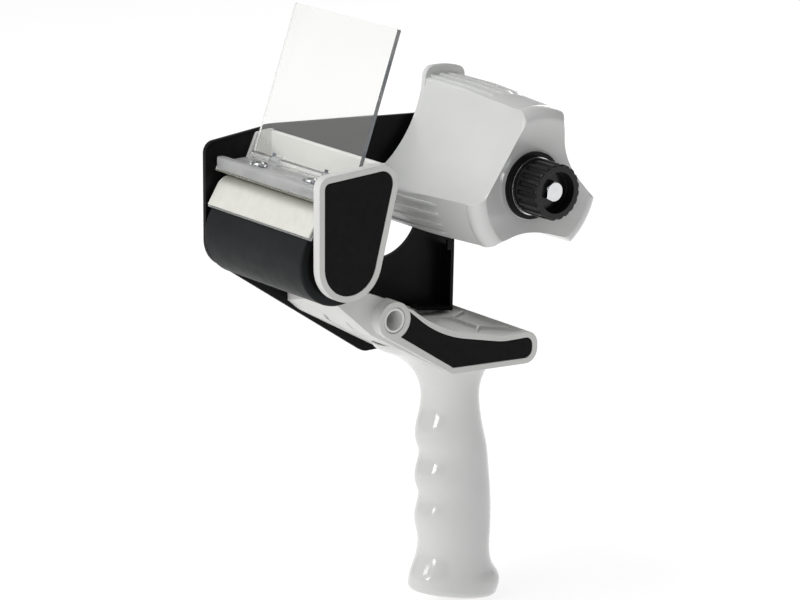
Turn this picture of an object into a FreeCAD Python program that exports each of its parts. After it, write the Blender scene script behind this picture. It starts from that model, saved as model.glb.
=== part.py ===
"""Hand-held tape gun for 3 inch packing tape, as an assembly of separate pieces.

Row frame: the origin is the centre of the handle's butt, +X points to the rear
(from the application roller towards the tape hub), +Y points away from the brake
knob (towards the steel frame plate), and +Z points up along the handle. The hub,
the roller and every prism below have their axes along Y. Millimetres.
"""
import FreeCAD, Part
import math
import os

Vector = FreeCAD.Vector
Rotation = FreeCAD.Rotation
Placement = FreeCAD.Placement

doc = FreeCAD.newDocument("tape_gun")

# ------------------------------------------------------------------ driving sizes
SIZES = [
    ("hub_x", 9.5, "hub axis, behind the handle's butt centre"),
    ("hub_z", 197.6, "hub axis, above the butt"),
    ("hub_radius", 37.8, "lobes of the hub, inside a 76.2 mm tape core"),
    ("hub_rim", 30.6, "lobes at the hub's rounded near end"),
    ("hub_waist", 20.8, "hub radius midway between two lobes"),
    ("hub_near", -47.6, "hub's near end"),
    ("hub_far", 26.8, "hub's far end"),
    ("hub_wall", 2.6, "wall of the hollow hub"),
    ("hub_bore", 7.8, "bore for the two bushes"),
    ("flange_thick", 2.6, "flange that stops the tape core"),
    ("flange_lip", 4.4, "how far the flange stands out beyond the lobes"),
    ("spindle_tube_radius", 5.2, "steel tube that the bushes run on"),
    ("bolt_radius", 2.5, "M5 bolts"),
    ("knob_radius", 12.5, "outside of the fluted brake knob"),
    ("knob_seat", -45.3, "face of the knob against its washer"),
    ("knob_front", -60.1, "front rim of the knob"),
    ("knob_floor", -54.8, "floor of the recess in the knob's front"),
    ("washer_radius", 12.9, "steel brake washer"),
    ("drag_radius", 15.0, "black drag washer"),
    ("plate_near", 30.3, "near face of the steel frame plate"),
    ("plate_thick", 2.0, "frame plate"),
    ("plate_flange", 7.8, "depth of the plate's folded flange"),
    ("roller_x", -95.6, "application roller axis"),
    ("roller_z", 179.9, "application roller axis"),
    ("roller_radius", 19.9, "outside of the roller's rubber"),
    ("roller_core_radius", 16.4, "plastic core under the rubber"),
    ("roller_near", -43.3, "near end of the roller"),
    ("roller_far", 27.7, "far end of the roller"),
    ("axle_radius", 3.5, "steel roller axle"),
    ("bush_radius", 6.5, "outside of a roller bush"),
    ("running_gap", 0.05, "radial clearance of a shaft in its bush"),
    ("cheek_near", -51.9, "outer face of the near cheek"),
    ("cheek_far", -47.6, "inner face of the near cheek"),
    ("cheek_round", 16.3, "round lower end of the cheek"),
    ("head_floor", 208.3, "floor of the head, under the guard's foot"),
    ("head_top", 221.0, "top edge of the head"),
    ("inset_depth", 1.0, "recess for a black pad"),
    ("guard_width", 73.4, "clear guard, along Y"),
    ("guard_thick", 2.0, "clear guard"),
    ("guard_length", 68.3, "clear guard, from its hinge to its top edge"),
    ("guard_lean", 19.6, "how far the open guard leans back, degrees"),
    ("hinge_x", -88.7, "guard hinge axis"),
    ("hinge_z", 211.4, "guard hinge axis"),
    ("barrel_radius", 2.1, "guard hinge barrel"),
    ("pin_radius", 0.9, "guard hinge pin"),
    ("blade_width", 72.0, "serrated blade, along Y"),
    ("blade_thick", 0.6, "serrated blade"),
    ("tooth_pitch", 1.8, "blade teeth"),
    ("tooth_depth", 1.1, "blade teeth"),
    ("wiper_thick", 0.9, "cream wiper leaf"),
    ("film_thick", 0.3, "clear film behind the wiper leaf"),
    ("block_near", -30.3, "near face of the handle block"),
    ("arm_near", -24.2, "near face of the block's lower arm"),
    ("boss_x", -55.9, "tube boss axis"),
    ("boss_z", 144.2, "tube boss axis"),
    ("boss_radius", 8.3, "tube boss"),
    ("sleeve_radius", 5.5, "white sleeve in the tube boss"),
    ("butt_slope", 12.0, "slope of the butt face, degrees, lower at the rear"),
]
sheet = doc.addObject("Spreadsheet::Sheet", "sizes")
for row, (alias, value, note) in enumerate(SIZES, start=1):
    sheet.set("A%d" % row, note)
    sheet.set("B%d" % row, str(value))
    sheet.setAlias("B%d" % row, alias)
doc.recompute()

nodes = {}
HUB = ("sizes.hub_x", "sizes.hub_z")
ROLLER = ("sizes.roller_x", "sizes.roller_z")
BOSS = ("sizes.boss_x", "sizes.boss_z")


def size(alias):
    """Value of one driving size."""
    return float(sheet.get(alias))


def keep(name, piece):
    """Register a finished piece under its node name."""
    piece.Label = name
    nodes[name] = piece
    return piece


# ------------------------------------------------------------------ outline helpers
def polygon(points):
    """Closed outline through (x, z, corner radius) points, with arcs at the corners."""
    count = len(points)
    corners = []
    for index, (x, z, radius) in enumerate(points):
        here = Vector(x, z, 0)
        back = Vector(points[index - 1][0], points[index - 1][1], 0) - here
        ahead = Vector(points[(index + 1) % count][0], points[(index + 1) % count][1], 0) - here
        back.normalize()
        ahead.normalize()
        if radius == 0:
            corners.append((here, here, here))
            continue
        half = back.getAngle(ahead) / 2
        reach = radius / math.tan(half)
        middle = back + ahead
        middle.normalize()
        centre = here + middle * (radius / math.sin(half))
        corners.append((here + back * reach, centre - middle * radius, here + ahead * reach))
    edges = []
    for index, (start, through, end) in enumerate(corners):
        if start != end:
            edges.append(Part.Arc(start, through, end))
        following = corners[(index + 1) % count][0]
        if following.distanceToPoint(end) > 1e-6:
            edges.append(Part.LineSegment(end, following))
    return edges


def circle(x, z, radius):
    return [Part.Circle(Vector(x, z, 0), Vector(0, 0, 1), radius)]


def hexagon(across_flats):
    """Hexagon with a corner at the top and a corner at the bottom."""
    radius = across_flats / math.sqrt(3)
    points = []
    for corner in range(6):
        angle = math.radians(60 * corner + 30)
        points.append((radius * math.cos(angle), radius * math.sin(angle), 0))
    return polygon(points)


def lobed(radius, waist, half_width):
    """Three-lobed hub outline: an arc on each lobe and a concave arc between lobes."""
    first_lobe = 84.5
    half_angle = math.degrees(math.asin(half_width / radius))
    edges = []
    for lobe in range(3):
        middle = first_lobe + 120 * lobe
        arcs = (
            (radius, middle - half_angle, radius, middle, radius, middle + half_angle),
            (radius, middle + half_angle, waist, middle + 60, radius, middle + 120 - half_angle),
        )
        for arc in arcs:
            points = []
            for step in range(0, 6, 2):
                angle = math.radians(arc[step + 1])
                points.append(Vector(arc[step] * math.cos(angle), arc[step] * math.sin(angle), 0))
            edges.append(Part.Arc(*points))
    return edges


# ------------------------------------------------------------------ feature helpers
def new_body(name, axis=None):
    """Empty PartDesign body. axis gives the expressions of its x and z, or none."""
    body = doc.addObject("PartDesign::Body", name + "_body")
    if axis:
        body.setExpression("Placement.Base.x", axis[0])
        body.setExpression("Placement.Base.z", axis[1])
    return keep(name, body)


def sketch_on(body, role, edges):
    """Sketch on one of the body's own origin planes."""
    plane = [item for item in body.Origin.OriginFeatures if item.Role == role][0]
    sketch = body.newObject("Sketcher::SketchObject", "outline")
    sketch.AttachmentSupport = [(plane, "")]
    sketch.MapMode = "FlatFace"
    sketch.addGeometry(edges, False)
    return sketch


def sketch_at(body, y_place, edges):
    """Sketch in the body's XZ plane, moved to y_place (an expression)."""
    sketch = sketch_on(body, "XZ_Plane", edges)
    sketch.setExpression("AttachmentOffset.Base.z", "-(%s)" % y_place)
    return sketch


def pad(body, edges, near, far):
    """Add the outline as a prism from y = near to y = far (expressions)."""
    feature = body.newObject("PartDesign::Pad", "pad")
    feature.Profile = sketch_at(body, far, edges)
    feature.setExpression("Length", "(%s) - (%s)" % (far, near))
    doc.recompute()
    return feature


def pocket(body, edges, near, far):
    """Cut the outline from y = near to y = far, and check that it removes material."""
    before = body.Shape.Volume
    feature = body.newObject("PartDesign::Pocket", "pocket")
    feature.Profile = sketch_at(body, near, edges)
    feature.setExpression("Length", "(%s) - (%s)" % (far, near))
    doc.recompute()
    if body.Shape.Volume > before - 1e-3:
        raise ValueError("pocket cuts nothing in " + body.Label)
    return feature


def fillet(body, radius, test):
    """Round the edges of the body's last feature that pass the test."""
    base = body.Tip
    names = []
    for index, edge in enumerate(base.Shape.Edges, start=1):
        if test(edge):
            names.append("Edge%d" % index)
    if not names:
        raise ValueError("no edge to round in " + body.Label)
    feature = body.newObject("PartDesign::Fillet", "fillet")
    feature.Base = (base, names)
    feature.Radius = radius
    doc.recompute()
    return feature


def at_y(edge, y):
    """True for an edge that lies in the plane y."""
    box = edge.BoundBox
    return abs(box.YMin - y) < 1e-3 and abs(box.YMax - y) < 1e-3


def cylinder(name, radius, near, far, axis):
    """Part cylinder along Y; all arguments are expressions."""
    solid = doc.addObject("Part::Cylinder", name)
    solid.setExpression("Radius", radius)
    solid.setExpression("Height", "(%s) - (%s)" % (far, near))
    solid.Placement = Placement(Vector(0, 0, 0), Rotation(Vector(1, 0, 0), -90))
    solid.setExpression("Placement.Base.x", axis[0])
    solid.setExpression("Placement.Base.y", near)
    solid.setExpression("Placement.Base.z", axis[1])
    return solid


def ring(name, outer, inner, near, far, axis):
    """Part cylinder with a coaxial hole right through."""
    result = doc.addObject("Part::Cut", name)
    result.Base = cylinder(name + "_outside", outer, near, far, axis)
    result.Tool = cylinder(name + "_hole", inner, near, far, axis)
    return result


def group(name, pieces):
    """One node that holds several identical loose solids."""
    compound = doc.addObject("Part::Compound", name)
    compound.Links = pieces
    return keep(name, compound)


def pan_screw(name, head_radius, head_height, shank, place):
    """Pan head screw with a cross recess. Its shank points along local -Z."""
    head = doc.addObject("Part::Cylinder", name + "_head")
    head.Radius = head_radius
    head.Height = head_height
    domed = doc.addObject("Part::Fillet", name + "_dome")
    domed.Base = head
    doc.recompute()
    dome = head_height * 0.7
    top_edge = [index for index, edge in enumerate(head.Shape.Edges, start=1)
                if edge.BoundBox.ZMin > head_height - 1e-3]
    domed.Edges = [(top_edge[0], dome, dome)]
    stem = doc.addObject("Part::Cylinder", name + "_stem")
    stem.Radius = shank[0]
    stem.Height = shank[1]
    stem.Placement.Base = Vector(0, 0, -shank[1])
    whole = doc.addObject("Part::Fuse", name + "_whole")
    whole.Base = domed
    whole.Tool = stem
    slot_width = head_radius * 0.3
    slot_length = head_radius * 1.2
    slots = []
    for turn in (0, 90):
        slot = doc.addObject("Part::Box", name + "_slot")
        slot.Length = slot_length
        slot.Width = slot_width
        slot.Height = head_height
        spin = Rotation(Vector(0, 0, 1), turn)
        corner = spin.multVec(Vector(-slot_length / 2, -slot_width / 2, 0))
        slot.Placement = Placement(corner + Vector(0, 0, head_height * 0.45), spin)
        slots.append(slot)
    cross = doc.addObject("Part::MultiFuse", name + "_cross")
    cross.Shapes = slots
    screw = doc.addObject("Part::Cut", name)
    screw.Base = whole
    screw.Tool = cross
    screw.Placement = place
    return screw


# ------------------------------------------------------------------ frame plate
PLATE_HOLE = (-17.8, 175.4, 21.8)
HEAD_SCREWS = ((-93.2, 204.3), (-81.6, 215.6))
BLOCK_SCREWS = ((-31.1, 122.8), (-10.4, 118.9))


def frame_plate():
    """Folded steel plate that carries the hub, the head and the handle block."""
    body = new_body("frame_plate")
    far = "sizes.plate_near + sizes.plate_thick"
    outside = polygon([
        (-112.9, 219.2, 5.2), (-77.8, 222.8, 25.9), (9.5, 217.1, 25.9), (30.3, 211.9, 12.1),
        (30.3, 179.1, 12.1), (24.0, 170.0, 6.9), (24.0, 155.8, 1.7), (17.2, 153.4, 0),
        (17.2, 125.4, 0), (-2.2, 128.4, 0), (-2.2, 111.6, 4.3), (-27.7, 111.6, 7.8), (-112.9, 168.8, 13.8),
    ])
    pad(body, outside, "sizes.plate_near", far)
    folded = polygon([
        (17.8, 155.2, 0), (17.2, 125.2, 0.6), (-2.2, 128.4, 0),
        (-2.2, 130.1, 0), (15.5, 127.2, 0.3), (16.1, 155.2, 0),
    ])
    pad(body, folded, "sizes.plate_near - sizes.plate_flange", "sizes.plate_near + 0.4")
    tongue = polygon([(14.0, 154.0, 0), (14.0, 158.8, 0), (17.8, 158.8, 0), (17.8, 154.0, 0)])
    pad(body, tongue, "sizes.plate_near - sizes.plate_flange",
        "sizes.plate_near - sizes.plate_flange + 1.4")
    pocket(body, circle(*PLATE_HOLE), "sizes.plate_near", far)
    pocket(body, circle(size("hub_x"), size("hub_z"), 2.7), "sizes.plate_near", far)
    pocket(body, circle(size("roller_x"), size("roller_z"), size("axle_radius")),
           "sizes.plate_near", far)
    pocket(body, circle(size("boss_x"), size("boss_z"), 2.7), "sizes.plate_near", far)
    for x, z in HEAD_SCREWS + BLOCK_SCREWS:
        pocket(body, circle(x, z, 1.5), "sizes.plate_near", far)


# ------------------------------------------------------------------ head
GUARD_SCREW_X = -99.0
GUARD_SCREW_Y = (-27.7, 10.4)


def cheek_outline(inside):
    """D-shaped cheek, round at the bottom around the roller axis, moved in by inside."""
    radius = size("cheek_round") - inside
    x, z = size("roller_x"), size("roller_z")
    lean = math.radians(14.5)
    front = x - radius
    top = size("head_top") - 2.0 - inside
    rise = 2.1
    rear_foot = Vector(x + radius * math.cos(lean), z - radius * math.sin(lean), 0)
    rear_top = Vector(rear_foot.x + (top + rise - rear_foot.y) * math.tan(lean), top + rise, 0)
    corner = 5.2 if inside == 0 else 2.6
    rear_corner = 8.7 if inside == 0 else 6.1
    upper = polygon([
        (front, z, 0), (front, top, corner), (rear_top.x, rear_top.y, rear_corner),
        (rear_foot.x, rear_foot.y, 0),
    ])
    upper.pop()
    turn = math.pi + (math.pi - lean) / 2
    low = Vector(x + radius * math.cos(turn), z + radius * math.sin(turn), 0)
    upper.append(Part.Arc(rear_foot, low, Vector(front, z, 0)))
    return upper


def head_housing():
    """Moulded head: near cheek, floor, rear wall and the small wall by the plate."""
    body = new_body("head_housing")
    pad(body, cheek_outline(0), "sizes.cheek_near", "sizes.cheek_far")
    floor_top = size("head_floor")
    top = size("head_top")
    section = polygon([
        (-107.3, floor_top, 0), (-78.1, floor_top, 1.7), (-78.1, top - 0.6, 0.9),
        (-75.9, top - 0.6, 0.9), (-75.9, floor_top - 3.2, 0), (-102.9, floor_top - 3.2, 0),
        (-107.3, floor_top - 1.0, 0),
    ])
    pad(body, section, "sizes.cheek_far - 0.5", "sizes.plate_near")
    side_wall = polygon([
        (-93.0, floor_top - 1, 0), (-86.6, top, 1.7), (-77.0, top, 0), (-77.0, floor_top - 1, 0),
    ])
    pad(body, side_wall, "sizes.plate_near - 1.6", "sizes.plate_near")
    lug = polygon([
        (-98.4, floor_top - 1.0, 0), (-98.4, floor_top - 7.8, 3), (-88.0, floor_top - 7.8, 3),
        (-86.0, floor_top - 1.0, 0),
    ])
    pad(body, lug, "sizes.plate_near - 1.6", "sizes.plate_near")
    boss = circle(size("roller_x"), size("roller_z"), 6.9)
    pad(body, boss, "sizes.cheek_far - 1", "sizes.roller_near - 0.4")
    for y in GUARD_SCREW_Y:
        for feature, radius, low, high in (("Additive", 2.6, 4.1, 3.0), ("Subtractive", 1.1, 5.0, -1)):
            post = body.newObject("PartDesign::%sCylinder" % feature, "screw_post")
            post.Radius = radius
            post.Height = low - high
            post.Placement.Base = Vector(GUARD_SCREW_X, y, floor_top - low)
            doc.recompute()
    pocket(body, circle(size("roller_x"), size("roller_z"), size("axle_radius")),
           "sizes.cheek_near + sizes.inset_depth", "sizes.roller_near")
    pocket(body, cheek_outline(2.7), "sizes.cheek_near", "sizes.cheek_near + sizes.inset_depth")
    for x, z in HEAD_SCREWS:
        pocket(body, circle(x, z, 1.3), "sizes.plate_near - 1.6", "sizes.plate_near")


def cheek_inset():
    """Black textured pad that covers the cheek and the axle's near end."""
    body = new_body("cheek_inset")
    pad(body, cheek_outline(2.8), "sizes.cheek_near + 0.2", "sizes.cheek_near + sizes.inset_depth")
    fillet(body, 0.4, lambda edge: at_y(edge, size("cheek_near") + 0.2))


# ------------------------------------------------------------------ guard
GUARD_MIDDLE = -8.7
KNUCKLE = 6.9


def guard_foot():
    """Clear strip screwed to the head, with a lip over the blade and hinge knuckles."""
    body = new_body("guard_foot")
    low = size("head_floor")
    section = polygon([
        (-108.4, low - 0.3, 0), (-108.4, low + 4.9, 1.0), (-104.2, low + 4.9, 1.4),
        (-104.2, low + 2.6, 0), (-92.1, low + 2.6, 0.7), (-92.1, low, 0),
        (-107.4, low, 0), (-107.4, low - 0.3, 0),
    ])
    near = "%s - sizes.guard_width / 2" % GUARD_MIDDLE
    far = "%s + sizes.guard_width / 2" % GUARD_MIDDLE
    pad(body, section, near, far)
    hinge_x = size("hinge_x")
    for y in GUARD_SCREW_Y:
        low_y = "%s - %s / 2" % (y, KNUCKLE)
        high_y = "%s + %s / 2" % (y, KNUCKLE)
        web = polygon([
            (-94.3, low + 0.2, 0), (-94.3, low + 2.6, 0), (-91.6, low + 2.6, 0),
            (hinge_x - 0.5, low + 4.9, 0), (hinge_x, low + 1.0, 0),
        ])
        pad(body, web, low_y, high_y)
        pad(body, circle(hinge_x, size("hinge_z"), size("barrel_radius")), low_y, high_y)
        pocket(body, circle(hinge_x, size("hinge_z"), size("pin_radius")), low_y, high_y)
        hole = body.newObject("PartDesign::SubtractiveCylinder", "clearance")
        hole.Radius = 1.5
        hole.Height = 4
        hole.Placement.Base = Vector(GUARD_SCREW_X, y, low - 0.5)
        doc.recompute()


def guard_window():
    """Clear upright guard that swings forward over the blade."""
    body = new_body("guard_window", ("sizes.hinge_x", "sizes.hinge_z"))
    lean = math.radians(size("guard_lean"))
    along = Vector(math.sin(lean), math.cos(lean), 0)
    across = Vector(math.cos(lean), -math.sin(lean), 0) * (size("guard_thick") / 2)
    top = along * size("guard_length")
    start = along * 0.5
    corners = [start - across, top - across, top + across, start + across]
    near = "%s - sizes.guard_width / 2" % GUARD_MIDDLE
    far = "%s + sizes.guard_width / 2" % GUARD_MIDDLE
    pad(body, polygon([(point.x, point.y, 0) for point in corners]), near, far)
    pad(body, circle(0, 0, size("barrel_radius")), near, far)
    pocket(body, circle(0, 0, size("pin_radius") + size("running_gap")), near, far)
    gap = size("barrel_radius") + 1.1
    notch = [along * -gap - across * 3, along * gap - across * 3,
             along * gap + across * 3, along * -gap + across * 3]
    for y in GUARD_SCREW_Y:
        low_y = "%s - %s / 2 - 0.4" % (y, KNUCKLE)
        high_y = "%s + %s / 2 + 0.4" % (y, KNUCKLE)
        pocket(body, polygon([(point.x, point.y, 0) for point in notch]), low_y, high_y)

    def top_corner(edge):
        box = edge.BoundBox
        flat = box.YMax - box.YMin < 1e-3
        return flat and edge.Length < size("guard_thick") + 0.01 and box.ZMin > top.y - 3
    fillet(body, 0.9, top_corner)


def guard_hardware():
    """Hinge pin and the two chrome screws of the guard's foot."""
    near = "%s - sizes.guard_width / 2" % GUARD_MIDDLE
    far = "%s + sizes.guard_width / 2" % GUARD_MIDDLE
    pin = cylinder("guard_pin", "sizes.pin_radius", near, far, ("sizes.hinge_x", "sizes.hinge_z"))
    keep("guard_pin", pin)
    screws = []
    for index, y in enumerate(GUARD_SCREW_Y, start=1):
        place = Placement(Vector(GUARD_SCREW_X, y, size("head_floor") + 2.6), Rotation())
        screws.append(pan_screw("guard_screw_%d" % index, 2.7, 1.9, (1.1, 5.6), place))
    group("guard_screws", screws)


# ------------------------------------------------------------------ blade and wiper
WIPER_LIFT = 2.0
WIPER_REAR = -99.9


def blade():
    """Flat steel strip with a row of teeth, tilted up under the guard's lip."""
    body = new_body("blade")
    depth = 8.1
    half_width = size("blade_width") / 2
    thick = size("blade_thick")
    strip = polygon([(0, 0, 0), (-depth, 0, 0), (-depth, thick, 0), (0, thick, 0)])
    pad(body, strip, "-sizes.blade_width / 2", "sizes.blade_width / 2")
    plane = [item for item in body.Origin.OriginFeatures if item.Role == "XY_Plane"][0]
    notch = body.newObject("Sketcher::SketchObject", "tooth_gap")
    notch.AttachmentSupport = [(plane, "")]
    notch.MapMode = "FlatFace"
    pitch = size("tooth_pitch")
    first = -half_width
    notch.addGeometry(polygon([
        (-depth - 0.5, first - 0.05, 0), (-depth - 0.5, first + pitch - 0.25, 0),
        (-depth, first + pitch - 0.25, 0), (-depth + size("tooth_depth"), first + pitch / 2, 0),
        (-depth, first - 0.05, 0),
    ]), False)
    cut = body.newObject("PartDesign::Pocket", "tooth_cut")
    cut.Profile = notch
    cut.Type = "ThroughAll"
    cut.Midplane = True
    doc.recompute()
    before = body.Shape.Volume
    teeth = body.newObject("PartDesign::LinearPattern", "teeth")
    teeth.Originals = [cut]
    axis = [item for item in body.Origin.OriginFeatures if item.Role == "Y_Axis"][0]
    teeth.Direction = (axis, [""])
    teeth.Length = size("blade_width") - pitch
    teeth.Occurrences = int(size("blade_width") / pitch)
    body.Tip = teeth
    doc.recompute()
    if body.Shape.Volume > before - 10:
        raise ValueError("the tooth pattern cuts nothing")
    tilt = Rotation(Vector(0, 1, 0), 25)
    body.Placement = Placement(Vector(-102.9, GUARD_MIDDLE, size("head_floor") - 3.9), tilt)


def wiper_section(lift, thick, tail):
    """Strip that lies along the roller and curls over under the head's floor.

    lift is the height of the strip's outer side above the roller, and tail lengthens
    its lower end.
    """
    centre = Vector(size("roller_x"), size("roller_z"), 0)
    slope = math.radians(58)
    up = Vector(math.cos(slope), math.sin(slope), 0)
    out = Vector(-math.sin(slope), math.cos(slope), 0)
    drop = WIPER_LIFT - lift
    top = size("head_floor") - 4.2 - drop
    bend = 6.9 - drop
    foot = centre + out * (size("roller_radius") + lift) + up * (1.6 - tail)
    knee = foot + up * ((top - foot.y) / up.y)
    inner_foot = foot - out * thick
    inner_knee = inner_foot + up * ((top - thick - inner_foot.y) / up.y)
    return polygon([
        (foot.x, foot.y, 0), (knee.x, knee.y, bend), (WIPER_REAR, top, 0),
        (WIPER_REAR, top - thick, 0), (inner_knee.x, inner_knee.y, bend - thick),
        (inner_foot.x, inner_foot.y, 0),
    ])


def wiper():
    """Cream leaf that presses the tape on the roller, with a clear film behind it."""
    leaf = new_body("wiper_leaf")
    leaf_section = wiper_section(WIPER_LIFT, size("wiper_thick"), 0)
    pad(leaf, leaf_section, "-45.8", "sizes.plate_near - 2.2")
    film = new_body("wiper_film")
    film_section = wiper_section(WIPER_LIFT - size("wiper_thick") - 0.5, size("film_thick"), 0.7)
    pad(film, film_section, "-46.5", "sizes.plate_near - 1.0")


# ------------------------------------------------------------------ roller
def roller():
    """Rubber-covered application roller on a fixed steel axle."""
    rubber = new_body("roller_rubber", ROLLER)
    pad(rubber, circle(0, 0, size("roller_radius")), "sizes.roller_near", "sizes.roller_far")
    pocket(rubber, circle(0, 0, size("roller_core_radius")), "sizes.roller_near", "sizes.roller_far")
    for end in ("roller_near", "roller_far"):
        fillet(rubber, 1.0, lambda edge: at_y(edge, size(end))
               and edge.Curve.Radius > size("roller_radius") - 1)
    core = new_body("roller_core", ROLLER)
    pad(core, circle(0, 0, size("roller_core_radius")), "sizes.roller_near", "sizes.roller_far")
    pocket(core, circle(0, 0, size("bush_radius")), "sizes.roller_near", "sizes.roller_far")
    dish = circle(0, 0, 13.8) + circle(0, 0, 8.8)
    pocket(core, dish, "sizes.roller_near", "sizes.roller_near + 30")
    pocket(core, dish, "sizes.roller_far - 30", "sizes.roller_far")
    hole = "sizes.axle_radius + sizes.running_gap"
    bushes = [
        ring("near_bush", "sizes.bush_radius", hole, "sizes.roller_near",
             "sizes.roller_near + 12", ROLLER),
        ring("far_bush", "sizes.bush_radius", hole, "sizes.roller_far - 12",
             "sizes.roller_far", ROLLER),
    ]
    group("roller_bushes", bushes)
    axle = cylinder("roller_axle", "sizes.axle_radius", "sizes.cheek_near + sizes.inset_depth",
                    "sizes.plate_near + 5.0", ROLLER)
    keep("roller_axle", axle)
    clip = doc.addObject("Part::Cut", "clip_cut")
    clip.Base = ring("clip_ring", "6.5", "sizes.axle_radius", "sizes.plate_near + 2.2",
                     "sizes.plate_near + 3.2", ROLLER)
    gap = doc.addObject("Part::Box", "clip_gap")
    gap.Length = 4.0
    gap.Width = 3
    gap.Height = 10
    gap.Placement.Base = Vector(size("roller_x") - 2.0, size("plate_near") + 1, size("roller_z"))
    clip.Tool = gap
    keep("axle_clip", clip)
    spacer = ring("axle_spacer", "5.6", "sizes.axle_radius", "sizes.roller_far + 0.4",
                  "sizes.plate_near", ROLLER)
    keep("axle_spacer", spacer)


# ------------------------------------------------------------------ hub and brake
HUB_HALF_WIDTH = 10.8


def new_stop_lip(body):
    """One rounded lip at the hub's far end, on the first lobe, that stops the tape core."""
    outer = size("hub_radius") + size("flange_lip")
    half = HUB_HALF_WIDTH + 0.3
    corner = 4.6
    shoulder = math.sqrt(outer ** 2 - (half - corner) ** 2)
    turn = 0.707 * corner
    outline = [
        Part.LineSegment(Vector(-half, 28.0, 0), Vector(-half, shoulder - corner, 0)),
        Part.Arc(Vector(-half, shoulder - corner, 0),
                 Vector(-half + corner - turn, shoulder - corner + turn, 0),
                 Vector(-half + corner, shoulder, 0)),
        Part.Arc(Vector(-half + corner, shoulder, 0), Vector(0, outer, 0),
                 Vector(half - corner, shoulder, 0)),
        Part.Arc(Vector(half - corner, shoulder, 0),
                 Vector(half - corner + turn, shoulder - corner + turn, 0),
                 Vector(half, shoulder - corner, 0)),
        Part.LineSegment(Vector(half, shoulder - corner, 0), Vector(half, 28.0, 0)),
        Part.LineSegment(Vector(half, 28.0, 0), Vector(-half, 28.0, 0)),
    ]
    lip = pad(body, outline, "sizes.hub_far - sizes.flange_thick", "sizes.hub_far")
    lip.Profile[0].AttachmentOffset.Rotation = Rotation(Vector(0, 0, 1), 84.5 - 90)
    doc.recompute()
    return lip


def hub():
    """Three-lobed hollow hub that grips the tape's core, with its bushes and washer."""
    radius = size("hub_radius")
    waist = size("hub_waist")
    near = size("hub_near")
    far = size("hub_far")
    body = new_body("hub", HUB)
    pad(body, lobed(radius, waist, HUB_HALF_WIDTH), "sizes.hub_near", "sizes.hub_far")
    fillet(body, 1.7, lambda edge: edge.BoundBox.YLength > 60)
    crown_start = -0.7
    shoulder = 35.3
    crown = sketch_on(body, "XY_Plane", [
        Part.Arc(Vector(size("hub_rim"), near, 0), Vector(34.3, near + 2.2, 0),
                 Vector(shoulder, near + 7.5, 0)),
        Part.LineSegment(Vector(shoulder, near + 7.5, 0), Vector(radius, crown_start, 0)),
        Part.LineSegment(Vector(radius, crown_start, 0), Vector(radius + 9, crown_start, 0)),
        Part.LineSegment(Vector(radius + 9, crown_start, 0), Vector(radius + 9, near - 1, 0)),
        Part.LineSegment(Vector(radius + 9, near - 1, 0), Vector(size("hub_rim"), near - 1, 0)),
        Part.LineSegment(Vector(size("hub_rim"), near - 1, 0), Vector(size("hub_rim"), near, 0)),
    ])
    before = body.Shape.Volume
    groove = body.newObject("PartDesign::Groove", "crown_cut")
    groove.Profile = crown
    groove.ReferenceAxis = (crown, ["V_Axis"])
    groove.Angle = 360
    doc.recompute()
    if body.Shape.Volume > before - 100:
        raise ValueError("the crown cut removes nothing")
    fillet(body, 1.5, lambda edge: at_y(edge, near))
    stop = new_stop_lip(body)
    lips = body.newObject("PartDesign::PolarPattern", "stop_lips")
    lips.Originals = [stop]
    lips.Axis = (crown, ["V_Axis"])
    lips.Angle = 360
    lips.Occurrences = 3
    body.Tip = lips
    doc.recompute()
    dish = body.newObject("PartDesign::SubtractiveCone", "dish")
    dish.Radius1 = 15.4
    dish.Radius2 = 29.6
    dish.Height = 5.2
    dish.Placement = Placement(Vector(0, near + 5.2, 0), Rotation(Vector(1, 0, 0), 90))
    doc.recompute()
    wall = size("hub_wall")
    hollow = lobed(33.0, waist - wall, HUB_HALF_WIDTH - wall - 0.4)
    pocket(body, hollow + circle(0, 0, size("hub_bore") + 2.2), "sizes.hub_near + 14",
           "sizes.hub_far")
    pocket(body, circle(0, 0, size("hub_bore")), "sizes.hub_near", "sizes.hub_far")
    ribs = []
    for step in (-11.5, -3.9, 3.9, 11.5):
        rib = body.newObject("PartDesign::Pad", "rib")
        rib.Profile = sketch_on(body, "XY_Plane", polygon([
            (35.0, far - 1.0, 0), (35.0, -21.0, 0), (36.4, -21.0, 0), (37.5, -18.0, 2.0),
            (38.6, crown_start, 20.0), (38.6, far - 1.0, 0),
        ]))
        rib.Profile[0].AttachmentOffset = Placement(
            Vector(0, 0, 0), Rotation(Vector(0, 1, 0), -84.5 - step))
        rib.Length = 1.2
        rib.Midplane = True
        doc.recompute()
        ribs.append(rib)
    pattern = body.newObject("PartDesign::PolarPattern", "rib_pattern")
    pattern.Originals = ribs
    pattern.Axis = (crown, ["V_Axis"])
    pattern.Angle = 360
    pattern.Occurrences = 3
    body.Tip = pattern
    doc.recompute()
    bush_hole = "sizes.spindle_tube_radius + sizes.running_gap"
    bushes = [
        ring("hub_near_bush", "sizes.hub_bore", bush_hole, "sizes.hub_near + 7",
             "sizes.hub_near + 18", HUB),
        ring("hub_far_bush", "sizes.hub_bore", bush_hole, "sizes.hub_far - 22",
             "sizes.hub_far - 11", HUB),
    ]
    group("hub_bushes", bushes)
    washer = ring("drag_washer_ring", "sizes.drag_radius", "6.0", "sizes.hub_near + 3.9",
                  "sizes.hub_near + 5.2", HUB)
    keep("drag_washer", washer)


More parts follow.
